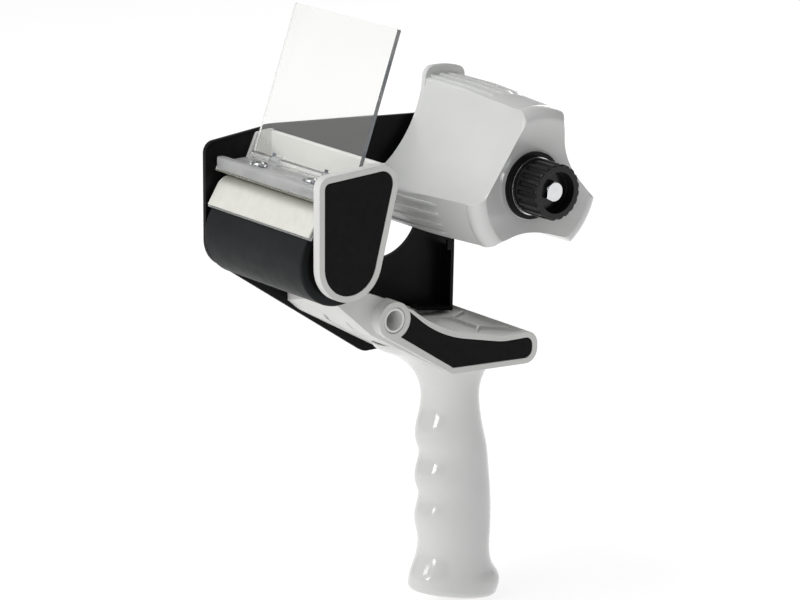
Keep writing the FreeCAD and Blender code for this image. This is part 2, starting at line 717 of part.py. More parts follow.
def brake():
    """Fluted knob that turns the spindle bolt and squeezes the washers on the hub."""
    washer = ring("brake_washer_ring", "sizes.washer_radius", "2.6", "sizes.knob_seat + 0.3",
                  "sizes.hub_near + 3.6", HUB)
    keep("brake_washer", washer)
    knob = new_body("brake_knob", HUB)
    pad(knob, circle(0, 0, size("knob_radius")), "sizes.knob_front", "sizes.knob_seat")
    fillet(knob, 0.8, lambda edge: at_y(edge, size("knob_front")))
    flute = pocket(knob, circle(size("knob_radius") + 0.4, 0, 1.3), "sizes.knob_front",
                   "sizes.knob_seat - 2")
    pattern = knob.newObject("PartDesign::PolarPattern", "flutes")
    pattern.Originals = [flute]
    pattern.Axis = (flute.Profile[0], ["N_Axis"])
    pattern.Angle = 360
    pattern.Occurrences = 20
    knob.Tip = pattern
    doc.recompute()
    pocket(knob, circle(0, 0, 9.2), "sizes.knob_front", "sizes.knob_floor")
    pocket(knob, circle(0, 0, size("bolt_radius")), "sizes.knob_floor", "sizes.knob_seat")
    bolt = new_body("spindle_bolt", HUB)
    pad(bolt, hexagon(8.4), "sizes.knob_floor - 3.5", "sizes.knob_floor")
    pad(bolt, circle(0, 0, size("bolt_radius")), "sizes.knob_floor", "sizes.plate_near + 8.5")
    face = size("knob_floor") - 3.5
    chamfer = sketch_on(bolt, "XY_Plane", polygon([
        (3.95, face - 0.1, 0), (6.0, face - 0.1, 0), (6.0, face + 1.1, 0),
    ]))
    crown = bolt.newObject("PartDesign::Groove", "head_chamfer")
    crown.Profile = chamfer
    crown.ReferenceAxis = (chamfer, ["V_Axis"])
    crown.Angle = 360
    doc.recompute()
    tube = ring("spindle_tube", "sizes.spindle_tube_radius", "sizes.bolt_radius + 0.1",
                "sizes.hub_near + 6.5", "sizes.plate_near", HUB)
    keep("spindle_tube", tube)
    nut = new_body("spindle_nut", HUB)
    far = "sizes.plate_near + sizes.plate_thick"
    pad(nut, hexagon(8.4), far, far + " + 4.5")
    pocket(nut, circle(0, 0, size("bolt_radius") + size("running_gap")), far, far + " + 4.5")


def brake_spring():
    """Coil spring round the spindle tube, between the far bush and the plate."""
    wire = 0.6
    mean_radius = 6.6
    length = 12.6
    turns = 4
    helix = Part.makeHelix(length / turns, length, mean_radius)
    profile = Part.Wire(Part.makeCircle(wire, Vector(mean_radius, 0, 0), Vector(0, 1, 0)))
    coil = Part.Wire(helix.Edges).makePipeShell([profile], True, True)
    spring = doc.addObject("Part::Feature", "brake_spring")
    spring.Shape = coil
    place = Vector(size("hub_x"), size("hub_far") - 10.2, size("hub_z"))
    spring.Placement = Placement(place, Rotation(Vector(1, 0, 0), -90))
    keep("brake_spring", spring)


# ------------------------------------------------------------------ handle block
def block_outline(inside):
    """Outline of the block's near face: boss side, swept rim, nose and the low corner."""
    nose = 7.3 - inside
    return polygon([
        (-49.8 + inside * 0.3, 150.4 - inside * 1.15, 5.2), (-31.1, 135.5 - inside, 77.8),
        (4.3, 127.3 - inside, 51.9), (23.9 - inside, 127.0 - inside, nose * 0.86),
        (23.9 - inside, 112.1 + inside, nose * 0.86), (-23.9, 114.7 + inside, 0),
        (-60.5 + inside * 1.4, 137.3 + inside * 0.4, 0),
    ])


def arm_outline():
    """Lower arm that runs forward along the plate, under the roller."""
    return polygon([
        (-23.9, 114.7, 0), (-63.8, 137.3, 17.3), (-81.5, 153.0, 8.7), (-86.1, 157.9, 2.2),
        (-81.3, 159.2, 1.7), (-65.7, 156.7, 5.2), (-47.6, 148.8, 0), (-23.9, 131.5, 0),
    ])


# Start (x, y), end (x, y) and crest height of the ribs on the tray's floor.
TRAY_RIBS = (
    ((-18.0, -26.5), (-18.0, 21.0), 129.5), ((10.0, 13.0), (19.4, 18.0), 125.7),
    ((9.6, -6.0), (9.6, 13.0), 125.7), ((9.6, -6.0), (19.4, -15.0), 125.7),
    ((-4.0, -20.0), (9.6, -6.0), 125.9), ((-4.0, 20.0), (9.6, 13.0), 125.9),
)
# Middle, direction, length, width and depth of the slots in the arm's sloping underside.
ARM_SLOTS = (
    ((-58.8, 10.0, 134.5), (0.840, 0.464, -0.476), 25.0, 2.2, 2.0),
    ((-52.7, 0.0, 131.0), (0, 1, 0), 10.0, 2.2, 3.5),
    ((-46.0, -14.5, 127.2), (0, 1, 0), 12.0, 2.0, 3.0),
    ((-66.0, -11.0, 138.6), (0.860, 0.150, -0.487), 14.0, 1.4, 1.2),
)


def handle_block():
    """Moulded block that joins the plate, the handle and the tube boss."""
    body = new_body("handle_block")
    pad(body, block_outline(0), "sizes.block_near", "sizes.plate_near")
    pad(body, arm_outline(), "sizes.arm_near", "sizes.plate_near")
    trim = body.newObject("PartDesign::SubtractiveBox", "arm_tip_trim")
    trim.Length = 40
    trim.Width = 90
    trim.Height = 60
    skew = Rotation(Vector(0, 0, 1), -18.2)
    trim.Placement = Placement(Vector(-87.4, -24.2, 120) + skew.multVec(Vector(-40, -20, 0)), skew)
    doc.recompute()
    boss = circle(size("boss_x"), size("boss_z"), size("boss_radius"))
    pad(body, boss, "sizes.block_near", "sizes.arm_near + 2")
    depth = 2.8
    hollow = polygon([
        (-43.3, 152.0, 0), (20.3, 152.0, 0), (20.3, 127.2 - depth, 1.7), (4.3, 127.3 - depth, 51.9),
        (-31.1, 135.5 - depth, 60), (-43.3, 145.2 - depth, 0),
    ])
    pocket(body, hollow, "sizes.block_near + 2.9", "sizes.plate_near - 2.2")
    flange_room = polygon([(-2.7, 128.1, 0), (-2.7, 160, 0), (18.4, 160, 0), (18.4, 124.5, 0)])
    pocket(body, flange_room, "sizes.plate_near - sizes.plate_flange - 0.4", "sizes.plate_near")
    for start, end, crest in TRAY_RIBS:
        along = Vector(end[0] - start[0], end[1] - start[1], 0)
        rib = body.newObject("PartDesign::AdditiveBox", "tray_rib")
        rib.Length = along.Length + 1.3
        rib.Width = 1.3
        rib.Height = 5
        turn = Rotation(Vector(1, 0, 0), along)
        corner = turn.multVec(Vector(-0.65, -0.65, -5))
        rib.Placement = Placement(Vector(start[0], start[1], crest) + corner, turn)
        doc.recompute()
    pocket(body, circle(size("boss_x"), size("boss_z"), size("sleeve_radius") + 0.3),
           "sizes.block_near", "4.5")
    pocket(body, circle(size("boss_x"), size("boss_z"), 2.7), "4.5", "sizes.plate_near")
    pocket(body, inset_outline(0), "sizes.block_near", "sizes.block_near + sizes.inset_depth")
    for x, z in BLOCK_SCREWS:
        pocket(body, circle(x, z, 1.3), "sizes.plate_near - 14", "sizes.plate_near")
    for middle, toward, length, width, deep in ARM_SLOTS:
        slot = body.newObject("PartDesign::SubtractiveBox", "arm_slot")
        slot.Length = length
        slot.Width = width
        slot.Height = deep + 3
        frame = Rotation(Vector(*toward), Vector(), Vector(0.493, 0, 0.870), "ZXY")
        corner = frame.multVec(Vector(-length / 2, -width / 2, -3))
        slot.Placement = Placement(Vector(*middle) + corner, frame)
        doc.recompute()
    socket = body.newObject("PartDesign::SubtractiveCylinder", "insert_socket")
    socket.Radius = 3.9
    socket.Height = 10.5
    socket.Placement.Base = Vector(0, 0, 111.2)
    doc.recompute()


def inset_outline(gap):
    """Black pad in the block's near face, concave round the tube boss."""
    inside = 2.6 + gap
    boss_x, boss_z = size("boss_x"), size("boss_z")
    radius = size("boss_radius") + 0.2 + gap
    upper = Vector(boss_x + radius * math.cos(math.radians(20)),
                   boss_z + radius * math.sin(math.radians(20)), 0)
    lower = Vector(boss_x + radius * math.cos(math.radians(-68)),
                   boss_z + radius * math.sin(math.radians(-68)), 0)
    middle = Vector(boss_x + radius * math.cos(math.radians(-24)),
                    boss_z + radius * math.sin(math.radians(-24)), 0)
    nose = 4.8 - gap
    edges = polygon([
        (upper.x, upper.y, 0), (-31.1, 135.5 - inside, 60.5), (4.3, 127.3 - inside, 43.2),
        (23.9 - inside, 127.0 - inside, nose * 0.86), (23.9 - inside, 112.1 + inside, nose * 0.86),
        (-23.4, 114.7 + inside, 0), (lower.x, lower.y, 0),
    ])
    edges.pop()
    edges.append(Part.Arc(lower, middle, upper))
    return edges


def block_inset():
    body = new_body("block_inset")
    pad(body, inset_outline(0.1), "sizes.block_near + 0.2", "sizes.block_near + sizes.inset_depth")
    fillet(body, 0.3, lambda edge: at_y(edge, size("block_near") + 0.2))


def block_hardware():
    """Sleeve, through bolt and nut of the tube boss, and the screws behind the plate."""
    sleeve = ring("block_sleeve_ring", "sizes.sleeve_radius", "4.4", "sizes.block_near + 0.3",
                  "4.4", BOSS)
    keep("block_sleeve", sleeve)
    bolt = doc.addObject("Part::Fuse", "block_bolt_fuse")
    bolt.Base = cylinder("block_bolt_head", "4.2", "0.0", "4.5", BOSS)
    bolt.Tool = cylinder("block_bolt_shank", "sizes.bolt_radius", "0.0",
                         "sizes.plate_near + 6.9", BOSS)
    keep("block_bolt", bolt)
    nut = new_body("block_nut", BOSS)
    far = "sizes.plate_near + sizes.plate_thick"
    pad(nut, hexagon(8.4), far, far + " + 4.5")
    pocket(nut, circle(0, 0, size("bolt_radius")), far, far + " + 4.5")
    facing = Rotation(Vector(1, 0, 0), -90)
    for name, places, length in (("head_screws", HEAD_SCREWS, 3.4),
                                 ("block_screws", BLOCK_SCREWS, 14.7)):
        screws = []
        for index, (x, z) in enumerate(places, start=1):
            place = Placement(Vector(x, size("plate_near") + size("plate_thick"), z), facing)
            screws.append(pan_screw("%s_%d" % (name, index), 3.2, 2.1, (1.3, length), place))
        group(name, screws)


# ------------------------------------------------------------------ handle
# Height, reach to the front, reach to the rear and half thickness of each section.
GRIP_SECTIONS = [
    (-12.1, 23.4, 26.8, 15.1), (3.5, 24.2, 25.5, 15.1), (10.4, 21.8, 22.0, 14.0),
    (19.0, 18.2, 19.5, 13.2), (29.8, 17.3, 19.9, 13.1), (33.6, 18.3, 20.05, 13.05),
    (39.8, 18.9, 20.1, 13.0), (49.7, 16.9, 19.4, 12.9), (53.6, 18.3, 19.1, 12.85),
    (59.7, 18.9, 18.5, 12.8), (69.6, 16.8, 17.1, 12.5), (73.4, 18.2, 16.2, 12.4),
    (79.6, 18.8, 14.6, 12.3), (89.1, 16.2, 12.8, 11.9), (97.7, 15.9, 12.8, 11.9),
    (104.7, 18.6, 16.0, 12.6), (111.6, 24.2, 20.5, 14.7), (118.5, 35.0, 20.0, 17.0),
    (124.5, 43.0, 17.0, 18.5),
]


def handle_grip():
    """Glossy hand grip with finger bulges, flared at the block and at the butt."""
    sections = []
    for z, front, rear, half in GRIP_SECTIONS:
        section = doc.addObject("Part::Ellipse", "section")
        section.MajorRadius = (front + rear) / 2
        section.MinorRadius = half
        section.Placement.Base = Vector((rear - front) / 2, 0, z)
        sections.append(section)
    skin = doc.addObject("Part::Loft", "grip_skin")
    skin.Sections = sections
    skin.Solid = True
    skin.Ruled = False
    tools = []
    below = doc.addObject("Part::Box", "below_butt")
    below.Length = 120
    below.Width = 80
    below.Height = 40
    spin = Rotation(Vector(0, 1, 0), size("butt_slope"))
    below.Placement = Placement(spin.multVec(Vector(-60, -40, -40)), spin)
    tools.append(below)
    envelope = doc.addObject("PartDesign::Body", "block_envelope")
    pad(envelope, block_outline(0), "sizes.block_near", "sizes.plate_near")
    tools.append(envelope)
    arm = doc.addObject("PartDesign::Body", "arm_envelope")
    pad(arm, arm_outline(), "sizes.arm_near", "sizes.plate_near")
    tools.append(arm)
    for name, radius, low, high in (("bolt_bore", 2.6, -20, 140), ("head_bore", 5.6, -20, 10)):
        bore = doc.addObject("Part::Cylinder", name)
        bore.Radius = radius
        bore.Height = high - low
        bore.Placement.Base = Vector(0, 0, low)
        tools.append(bore)
    cutter = doc.addObject("Part::MultiFuse", "grip_cutter")
    cutter.Shapes = tools
    grip = doc.addObject("Part::Cut", "handle_grip_cut")
    grip.Base = skin
    grip.Tool = cutter
    doc.recompute()
    butt_edges = []
    for index, edge in enumerate(grip.Shape.Edges, start=1):
        if edge.BoundBox.ZMax < 8 and edge.Length > 50:
            butt_edges.append((index, 3.0, 3.0))
    rounded = doc.addObject("Part::Fillet", "handle_grip_rounded")
    rounded.Base = grip
    rounded.Edges = butt_edges
    keep("handle_grip", rounded)


def handle_bolt():
    """Long bolt up the handle and the brass insert that it screws into."""
    head = doc.addObject("Part::Cylinder", "handle_bolt_head")
    head.Radius = 4.3
    head.Height = 5.0
    head.Placement.Base = Vector(0, 0, 5.0)
    shank = doc.addObject("Part::Cylinder", "handle_bolt_shank")
    shank.setExpression("Radius", "sizes.bolt_radius")
    shank.Height = 112.5
    shank.Placement.Base = Vector(0, 0, 6.9)
    bolt = doc.addObject("Part::Fuse", "handle_bolt_fuse")
    bolt.Base = head
    bolt.Tool = shank
    keep("handle_bolt", bolt)
    outside = doc.addObject("Part::Cylinder", "insert_outside")
    outside.Radius = 3.9
    outside.Height = 7.6
    outside.Placement.Base = Vector(0, 0, 113.8)
    hole = doc.addObject("Part::Cylinder", "insert_hole")
    hole.setExpression("Radius", "sizes.bolt_radius")
    hole.Height = 7.6
    hole.Placement.Base = Vector(0, 0, 113.8)
    insert = doc.addObject("Part::Cut", "thread_insert_cut")
    insert.Base = outside
    insert.Tool = hole
    keep("thread_insert", insert)


frame_plate()
head_housing()
cheek_inset()
guard_foot()
guard_window()
guard_hardware()
blade()
wiper()
roller()
hub()
brake()
brake_spring()
handle_block()
block_inset()
block_hardware()
handle_grip()
handle_bolt()
doc.recompute()

# ------------------------------------------------------------------ check and export
for item in doc.Objects:
    if "Invalid" in item.State or "Error" in item.State:
        raise ValueError("failed object: %s %s" % (item.Label, item.State))
for name, piece in nodes.items():
    if piece.Shape.isNull() or not piece.Shape.isValid() or not piece.Shape.Solids:
        raise ValueError("bad shape: " + name)
os.makedirs("parts", exist_ok=True)
for name, piece in sorted(nodes.items()):
    piece.Shape.exportStep("parts/%s.step" % name)
    box = piece.Shape.BoundBox
    print("%-14s solids %d volume %9.0f  x %7.1f %7.1f  y %6.1f %6.1f  z %6.1f %6.1f" % (
        name, len(piece.Shape.Solids), piece.Shape.Volume,
        box.XMin, box.XMax, box.YMin, box.YMax, box.ZMin, box.ZMax))
print(len(nodes), "nodes")
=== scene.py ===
"""Looks of the tape gun: materials, detailed pieces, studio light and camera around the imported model."""

import math

import bpy
from mathutils import Matrix, Vector


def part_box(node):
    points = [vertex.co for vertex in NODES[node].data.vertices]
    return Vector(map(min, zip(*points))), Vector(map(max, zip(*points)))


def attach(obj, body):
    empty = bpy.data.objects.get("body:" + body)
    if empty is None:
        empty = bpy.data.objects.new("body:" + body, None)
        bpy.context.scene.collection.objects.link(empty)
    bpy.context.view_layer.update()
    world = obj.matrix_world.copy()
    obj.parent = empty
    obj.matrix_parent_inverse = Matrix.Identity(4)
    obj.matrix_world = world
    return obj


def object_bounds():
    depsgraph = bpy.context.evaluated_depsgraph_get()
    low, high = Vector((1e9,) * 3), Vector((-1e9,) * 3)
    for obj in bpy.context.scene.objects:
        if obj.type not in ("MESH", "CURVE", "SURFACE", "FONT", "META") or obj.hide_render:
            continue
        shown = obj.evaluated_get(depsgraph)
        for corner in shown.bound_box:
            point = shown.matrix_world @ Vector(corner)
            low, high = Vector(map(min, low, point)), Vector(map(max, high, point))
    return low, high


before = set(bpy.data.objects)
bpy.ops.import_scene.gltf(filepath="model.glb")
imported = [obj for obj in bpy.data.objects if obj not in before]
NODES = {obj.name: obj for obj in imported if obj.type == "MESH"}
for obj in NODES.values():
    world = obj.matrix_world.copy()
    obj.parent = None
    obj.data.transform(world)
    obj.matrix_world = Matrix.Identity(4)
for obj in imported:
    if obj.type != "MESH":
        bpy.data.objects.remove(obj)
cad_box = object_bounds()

MM = 0.001
BEVEL_SAMPLES = 4
EDGE_TURN = 0.93  # cosine between the rounded and the real normal where an edge mask is full
SMUDGES_PER_CLOUD = 2.3
GRAIN_DEPTH = 0.1 * MM


# ---------------------------------------------------------------- materials

def link(tree, source, target):
    """Joins an output socket to an input socket."""
    tree.links.new(source, target)


def noise(tree, coordinates, scale, detail=3.0, roughness=0.5, stretch=None):
    """A noise texture at so many features a metre, stretched along an axis if asked."""
    place = coordinates
    if stretch:
        mapping = tree.nodes.new("ShaderNodeMapping")
        mapping.inputs["Scale"].default_value = stretch
        link(tree, coordinates, mapping.inputs["Vector"])
        place = mapping.outputs["Vector"]
    texture = tree.nodes.new("ShaderNodeTexNoise")
    texture.inputs["Scale"].default_value = scale
    texture.inputs["Detail"].default_value = detail
    texture.inputs["Roughness"].default_value = roughness
    link(tree, place, texture.inputs["Vector"])
    return texture.outputs["Fac"]


def spread(tree, value, low, high, new_low, new_high):
    """Maps a value from one range to another, and stops at its ends."""
    node = tree.nodes.new("ShaderNodeMapRange")
    for name, number in (("From Min", low), ("From Max", high), ("To Min", new_low), ("To Max", new_high)):
        node.inputs[name].default_value = number
    link(tree, value, node.inputs["Value"])
    return node.outputs["Result"]


def blend_colour(tree, factor, first, second):
    """A mix of two colours; each is a socket or a plain (r, g, b)."""
    node = tree.nodes.new("ShaderNodeMix")
    node.data_type = "RGBA"
    link(tree, factor, node.inputs["Factor"])
    for socket, colour in ((node.inputs["A"], first), (node.inputs["B"], second)):
        if isinstance(colour, tuple):
            socket.default_value = (*colour, 1.0)
        else:
            link(tree, colour, socket)
    return node.outputs["Result"]


def edge_mask(tree, radius, strength):
    """strength on sharp edges and 0 on flat faces: how far a rounded normal turns from the real one."""
    rounded = tree.nodes.new("ShaderNodeBevel")
    rounded.samples = BEVEL_SAMPLES
    rounded.inputs["Radius"].default_value = radius
    geometry = tree.nodes.new("ShaderNodeNewGeometry")
    dot = tree.nodes.new("ShaderNodeVectorMath")
    dot.operation = "DOT_PRODUCT"
    link(tree, rounded.outputs["Normal"], dot.inputs[0])
    link(tree, geometry.outputs["Normal"], dot.inputs[1])
    return spread(tree, dot.outputs["Value"], 1.0, EDGE_TURN, 0.0, strength)


def streak_side_tint_and_reflections(tree, coordinates, colour, side_tint_and_reflection):
    """Streaks two colours over the faces that look along Y, and keeps the colour elsewhere: partly the
    clear sheet's own edge tint, partly painted shade and painted reflection on its sides.
    """
    streaks = noise(tree, coordinates, scale=90.0, detail=3.0, roughness=0.7)
    # The streaks are painted shade and painted reflection on the sheet's edges, over its own tint.
    tint_and_reflection_streaks = blend_colour(tree, spread(tree, streaks, 0.40, 0.60, 0.0, 1.0), *side_tint_and_reflection)
    parts = tree.nodes.new("ShaderNodeSeparateXYZ")
    link(tree, tree.nodes.new("ShaderNodeNewGeometry").outputs["Normal"], parts.inputs["Vector"])
    size_of_y = tree.nodes.new("ShaderNodeMath")
    size_of_y.operation = "ABSOLUTE"
    link(tree, parts.outputs["Y"], size_of_y.inputs[0])
    facing_y = spread(tree, size_of_y.outputs["Value"], 0.7, 0.9, 0.0, 1.0)
    return blend_colour(tree, facing_y, colour, tint_and_reflection_streaks)


def surface(name, base, tint, rough, *, rough_spread=0.06, mottle=60.0, grain=1500.0, grain_bump=0.06,
            stretch=None, edge=None, edge_strength=0.5, edge_radius=0.5 * MM, soft_edge=0.4 * MM,
            side_tint_and_reflection=None, **values):
    """A finished material: colour that drifts between base and tint, uneven roughness, a grain in
    the bump, and edges in a colour of their own, which is partly rubbed wear and partly a painted
    highlight along the edge. The side colours are streaked over a clear sheet's sides that look along Y:
    partly the sheet's own edge tint, partly painted shade and painted reflection. values go to the
    shader's own sockets."""
    material = bpy.data.materials.new(name)
    material.use_nodes = True
    tree = material.node_tree
    shader = tree.nodes["Principled BSDF"]
    coordinates = tree.nodes.new("ShaderNodeTexCoord").outputs["Object"]
    clouds = noise(tree, coordinates, mottle, detail=4.0, roughness=0.55, stretch=stretch)
    fine = noise(tree, coordinates, grain, detail=2.0, roughness=0.6, stretch=stretch)
    colour = blend_colour(tree, spread(tree, clouds, 0.3, 0.7, 0.0, 1.0), base, tint)
    # Edges take the edge colour: partly rubbed wear, partly a painted highlight along the edge.
    if edge:
        colour = blend_colour(tree, edge_mask(tree, edge_radius, edge_strength), colour, edge)
    # Sides that look along Y get streaks: the sheet's own edge tint with painted shade and painted
    # reflection.
    if side_tint_and_reflection:
        colour = streak_side_tint_and_reflections(tree, coordinates, colour, side_tint_and_reflection)
    link(tree, colour, shader.inputs["Base Color"])
    smudge = noise(tree, coordinates, mottle * SMUDGES_PER_CLOUD, detail=5.0, roughness=0.6)
    link(tree, spread(tree, smudge, 0.3, 0.7, rough - rough_spread, rough + rough_spread),
         shader.inputs["Roughness"])
    bump = tree.nodes.new("ShaderNodeBump")
    bump.inputs["Strength"].default_value = grain_bump
    bump.inputs["Distance"].default_value = GRAIN_DEPTH
    link(tree, fine, bump.inputs["Height"])
    if soft_edge:
        rounded = tree.nodes.new("ShaderNodeBevel")
        rounded.samples = BEVEL_SAMPLES
        rounded.inputs["Radius"].default_value = soft_edge
        link(tree, rounded.outputs["Normal"], bump.inputs["Normal"])
    link(tree, bump.outputs["Normal"], shader.inputs["Normal"])
    for key, value in values.items():
        shader.inputs[key.replace("_", " ")].default_value = value
    return material


def paint(node, material):
    """Gives every slot of a CAD node this material."""
    mesh = NODES[node].data
    if not mesh.materials:
        mesh.materials.append(material)
    for index in range(len(mesh.materials)):
        mesh.materials[index] = material


def coat(weight, rough):
    """Shader values of a thin clear gloss over the colour."""
    return {"Coat Weight": weight, "Coat Roughness": rough}


# An edge colour, mostly lighter than the body, is partly rubbed wear and partly a painted highlight along
# the edge.
GREY_SHELL = surface(
    "moulded_light_grey", (0.57, 0.57, 0.56), (0.61, 0.61, 0.595), 0.42,
    mottle=45, grain=2200, grain_bump=0.10, edge=(0.80, 0.80, 0.78), edge_strength=0.35,
)
HUB_GREY = surface(
    "satin_grey_hub", (0.57, 0.58, 0.575), (0.61, 0.615, 0.605), 0.33,
    mottle=22, grain=1800, grain_bump=0.05, soft_edge=0, **coat(0.7, 0.17),
)
BLACK_PAD = surface(
    "matte_black_pad", (0.0045, 0.0045, 0.0045), (0.007, 0.007, 0.007), 0.62,
    mottle=300, grain=3500, grain_bump=0.35, edge=(0.02, 0.02, 0.02), edge_strength=0.4,
    **{"Specular IOR Level": 0.10},
)
PLATE_PAINT = surface(
    "black_painted_steel", (0.0025, 0.0025, 0.0025), (0.004, 0.004, 0.0045), 0.42,
    mottle=80, grain=900, grain_bump=0.18, edge=(0.030, 0.030, 0.029), edge_strength=0.4,
    **{"Specular IOR Level": 0.12},
)
ROLLER_RUBBER = surface(
    "charcoal_rubber", (0.010, 0.011, 0.012), (0.014, 0.015, 0.016), 0.50,
    mottle=70, grain=1400, grain_bump=0.14, stretch=(1.0, 0.25, 1.0),
    edge=(0.010, 0.010, 0.010), edge_strength=0.8, **{"Specular IOR Level": 0.12},
)
BLACK_PLASTIC = surface(
    "dark_moulded_plastic", (0.003, 0.003, 0.003), (0.005, 0.005, 0.005), 0.36,
    mottle=90, grain=1600, grain_bump=0.08, edge=(0.012, 0.012, 0.012), edge_strength=0.4,
    **{"Specular IOR Level": 0.15},
)
KNOB_GLOSS = surface(
    "glossy_black_knob", (0.002, 0.002, 0.002), (0.004, 0.004, 0.004), 0.20,
    rough_spread=0.05, mottle=120, grain=1300, grain_bump=0.05,
    edge=(0.02, 0.02, 0.02), edge_strength=0.5, soft_edge=0.35 * MM, **{"Specular IOR Level": 0.35},
)
GRIP_GLOSS = surface(
    "glossy_white_grip", (0.60, 0.605, 0.60), (0.63, 0.632, 0.625), 0.16,
    rough_spread=0.04, mottle=26, grain=260, grain_bump=0.02, soft_edge=0,
    **coat(0.5, 0.04),
)
WHITE_PLASTIC = surface(
    "white_moulded_plastic", (0.74, 0.74, 0.73), (0.78, 0.78, 0.76), 0.40,
    mottle=80, grain=1800, grain_bump=0.06, edge=(0.86, 0.86, 0.84), edge_strength=0.4,
)
CREAM_LEAF = surface(
    "cream_wiper_leaf", (0.65, 0.65, 0.61), (0.60, 0.60, 0.55), 0.30,
    rough_spread=0.03, mottle=240, grain=700, grain_bump=0.04, soft_edge=0.15 * MM, **coat(0.2, 0.2),
)
CLEAR_FILM = surface(
    "clear_film", (0.93, 0.95, 0.95), (0.96, 0.97, 0.97), 0.08,
    rough_spread=0.03, mottle=150, grain=900, grain_bump=0.02, soft_edge=0,
    **{"Transmission Weight": 0.85, "IOR": 1.5},
)
# The guard's Y-facing sides get dark blue and pale streaks: partly the acrylic's own edge tint, partly
# painted shade and painted reflection.
CLEAR_GUARD = surface(
    "clear_acrylic_guard", (0.93, 0.93, 0.915), (0.955, 0.955, 0.94), 0.03,
    rough_spread=0.02, mottle=35, grain=500, grain_bump=0.01, soft_edge=0,
    side_tint_and_reflection=((0.34, 0.40, 0.52), (0.80, 0.83, 0.88)),
    **{"Transmission Weight": 0.965, "IOR": 1.47},
)
CLEAR_FOOT = surface(
    "clear_moulded_foot", (0.56, 0.57, 0.57), (0.64, 0.65, 0.65), 0.16,
    rough_spread=0.04, mottle=120, grain=300, grain_bump=0.015, soft_edge=0.25 * MM,
    **{"Transmission Weight": 0.55, "IOR": 1.49, "Alpha": 0.80},
)
CHROME = surface(
    "bright_chrome", (0.78, 0.79, 0.80), (0.70, 0.71, 0.72), 0.13,
    rough_spread=0.05, mottle=400, grain=3000, grain_bump=0.10, soft_edge=0.15 * MM, Metallic=1.0,
)
DARK_CHROME = surface(
    "dark_chrome", (0.34, 0.34, 0.35), (0.22, 0.22, 0.23), 0.10,
    rough_spread=0.05, mottle=600, grain=3000, grain_bump=0.10, soft_edge=0, Metallic=1.0,
)
ZINC_STEEL = surface(
    "zinc_plated_steel", (0.55, 0.56, 0.57), (0.46, 0.47, 0.48), 0.27,
    rough_spread=0.08, mottle=300, grain=2600, grain_bump=0.16, soft_edge=0.15 * MM, Metallic=1.0,
)
BLADE_STEEL = surface(
    "ground_blade_steel", (0.42, 0.42, 0.38), (0.34, 0.34, 0.30), 0.25,
    rough_spread=0.08, mottle=500, grain=2600, grain_bump=0.12, stretch=(6.0, 0.4, 6.0),
    soft_edge=0, Metallic=1.0,
)
BRASS = surface(
    "turned_brass", (0.62, 0.43, 0.16), (0.52, 0.36, 0.13), 0.25,
    mottle=400, grain=2800, grain_bump=0.12, soft_edge=0.1 * MM, Metallic=1.0,
)

FINISHES = {
    "frame_plate": PLATE_PAINT,
    "head_housing": GREY_SHELL,
    "cheek_inset": BLACK_PAD,
    "guard_foot": CLEAR_FOOT,
    "guard_window": CLEAR_GUARD,
    "guard_pin": CLEAR_FILM,
    "guard_screws": CHROME,
    "blade": BLADE_STEEL,
    "wiper_leaf": CREAM_LEAF,
    "wiper_film": CLEAR_FILM,
    "roller_rubber": ROLLER_RUBBER,
    "roller_core": BLACK_PLASTIC,
    "roller_bushes": BLACK_PLASTIC,
    "roller_axle": ZINC_STEEL,
    "axle_clip": ZINC_STEEL,
    "axle_spacer": BLACK_PLASTIC,
    "hub": HUB_GREY,
    "hub_bushes": WHITE_PLASTIC,
    "drag_washer": BLACK_PLASTIC,
    "brake_washer": CHROME,
    "brake_knob": KNOB_GLOSS,
    "spindle_bolt": CHROME,
    "spindle_tube": ZINC_STEEL,
    "spindle_nut": ZINC_STEEL,
    "brake_spring": ZINC_STEEL,
    "handle_block": GREY_SHELL,
    "block_inset": BLACK_PAD,
    "block_sleeve": WHITE_PLASTIC,
    "block_bolt": ZINC_STEEL,
    "block_nut": ZINC_STEEL,
    "block_screws": CHROME,
    "head_screws": CHROME,
    "handle_grip": GRIP_GLOSS,
    "handle_bolt": ZINC_STEEL,
    "thread_insert": BRASS,
}
for node, finish in FINISHES.items():
    paint(node, finish)

# A thin clear sheet would throw the shadow of an opaque one.
for clear in ("guard_window", "guard_foot", "wiper_film"):
    NODES[clear].visible_shadow = False


# ---------------------------------------------------------------- small pieces

WASHER_TEETH = 12
WASHER_RINGS = (  # radius, then the height on a tooth and in a gap, in mm from the inner edge outwards
    (1.9, 0.9, 0.9),
    (2.9, 1.6, 0.5),
    (4.1, 1.1, 0.15),
    (4.1, 0.0, 0.0),
)
TOOTH_START = 3.0  # beyond this radius the gaps are cut back
GAP_DEPTH = 0.5
SCREW_HEAD = 1.9 * MM


def star_washer(name, screw_centre, material):
    """A lock washer under a screw's head: a closed disc with raised teeth round its edge."""
    count = 2 * WASHER_TEETH
    points = []
    for radius, tooth, gap in WASHER_RINGS:
        for index in range(count):
            angle = math.pi * index / WASHER_TEETH
            in_gap = index % 2
            height = gap if in_gap else tooth
            reach = radius - (GAP_DEPTH if in_gap and radius > TOOTH_START else 0.0)
            points.append((
                screw_centre[0] + reach * math.cos(angle) * MM,
                screw_centre[1] + reach * math.sin(angle) * MM,
                screw_centre[2] + height * MM,
            ))
    last = (len(WASHER_RINGS) - 1) * count
    faces = [tuple(range(count)), tuple(reversed(range(last, last + count)))]
    for start in range(0, last, count):
        for index in range(count):
            after = (index + 1) % count
            faces.append((
                start + index, start + count + index, start + count + after, start + after,
            ))
    mesh = bpy.data.meshes.new(name)
    mesh.from_pydata(points, [], faces)
    mesh.materials.append(material)
    washer = bpy.data.objects.new(name, mesh)
    bpy.context.scene.collection.objects.link(washer)
    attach(washer, "frame")


